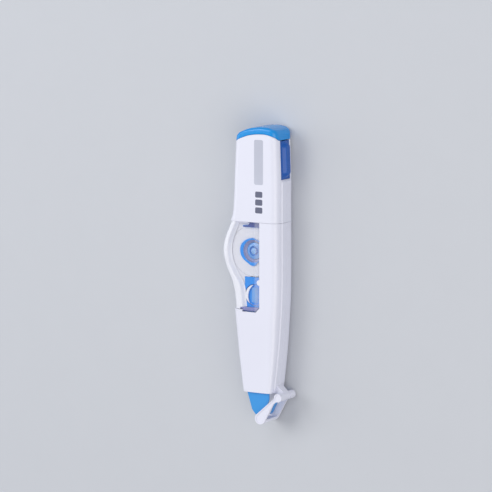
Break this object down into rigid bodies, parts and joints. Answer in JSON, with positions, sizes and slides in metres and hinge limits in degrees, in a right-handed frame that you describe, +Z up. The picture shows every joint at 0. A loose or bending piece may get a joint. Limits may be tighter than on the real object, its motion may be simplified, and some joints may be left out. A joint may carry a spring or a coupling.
{
  "type": "correction tape roller",
  "caption": "Pen-shaped refillable correction tape roller with a clear window, geared tape reels, a pull-off rear case, a release button and a swinging head guard.",
  "frame": {"origin": "on the flat back face, under the axis of the supply reel", "axes": "+Z is up and out of the front face; +Y points to the rear end, away from the tape tip; +X points to the side that has the release button"},
  "size_m": [0.0275, 0.1178, 0.0136],
  "materials": {
    "white_shell": "glossy moulded ABS",
    "clear_window": "clear moulded polystyrene",
    "blue_plastic": "glossy moulded plastic",
    "deep_blue_plastic": "satin moulded acetal",
    "tape_paper": "matt coated paper liner",
    "frosted_flange": "frosted translucent plastic",
    "steel": "bright spring steel"
  },
  "bodies": {
    "case": {"lower_case_front": "white_shell", "lower_case_back": "white_shell", "window_cover": "clear_window", "window_bezel": "white_shell", "cartridge_frame": "blue_plastic", "cartridge_cover": "blue_plastic", "cartridge_side_plate": "frosted_flange", "backstop_pawl": "deep_blue_plastic", "applicator_head": "blue_plastic", "tape_feed_strand": "tape_paper", "tape_over_tip": "tape_paper", "liner_return_strand": "tape_paper", "guard_hinge_pin": "steel"},
    "rear_case": {"rear_case_front": "white_shell", "rear_case_back": "white_shell", "end_cap": "blue_plastic"},
    "button": {"release_button": "blue_plastic"},
    "guard": {"head_guard": "white_shell"},
    "supply_reel": {"supply_core": "blue_plastic", "supply_flange_back": "frosted_flange", "supply_flange_front": "frosted_flange", "tape_roll": "tape_paper"},
    "drive_gear": {"drive_gear": "deep_blue_plastic", "clutch_spring": "steel"},
    "idler": {"idler_gear": "deep_blue_plastic"},
    "take_up_reel": {"take_up_gear": "deep_blue_plastic", "take_up_core": "white_shell", "take_up_cap": "blue_plastic", "used_liner_roll": "tape_paper"}
  },
  "joints": [
    {"name": "rear_case_slide", "type": "slide", "parent": "case", "child": "rear_case", "axis": [0, 1, 0], "range_m": [0, 0.042]},
    {"name": "release_button_press", "type": "slide", "parent": "rear_case", "child": "button", "axis": [-1, 0, 0], "range_m": [0, 0.0009], "stiffness_N_per_m": 800},
    {"name": "guard_swing", "type": "hinge", "parent": "case", "child": "guard", "pos_m": [0.0116, -0.0574, 0.0068], "axis": [0, 0, 1], "range_deg": [0, 200]},
    {"name": "supply_reel_turn", "type": "hinge", "parent": "case", "child": "supply_reel", "pos_m": [0, 0, 0.0068], "axis": [0, 0, 1], "continuous": true},
    {"name": "drive_gear_turn", "type": "hinge", "parent": "case", "child": "drive_gear", "pos_m": [0, 0, 0.0032], "axis": [0, 0, 1], "continuous": true},
    {"name": "idler_turn", "type": "hinge", "parent": "case", "child": "idler", "pos_m": [0.00297, -0.01127, 0.0033], "axis": [0, 0, 1], "continuous": true},
    {"name": "take_up_reel_turn", "type": "hinge", "parent": "case", "child": "take_up_reel", "pos_m": [0.0004, -0.0174, 0.0068], "axis": [0, 0, 1], "continuous": true}
  ],
  "couplings": [
    {"joint": "take_up_reel_turn", "follows": "supply_reel_turn", "ratio": 1.898},
    {"joint": "idler_turn", "follows": "supply_reel_turn", "ratio": -2.0166},
    {"joint": "drive_gear_turn", "follows": "supply_reel_turn", "ratio": 0.76824}
  ]
}
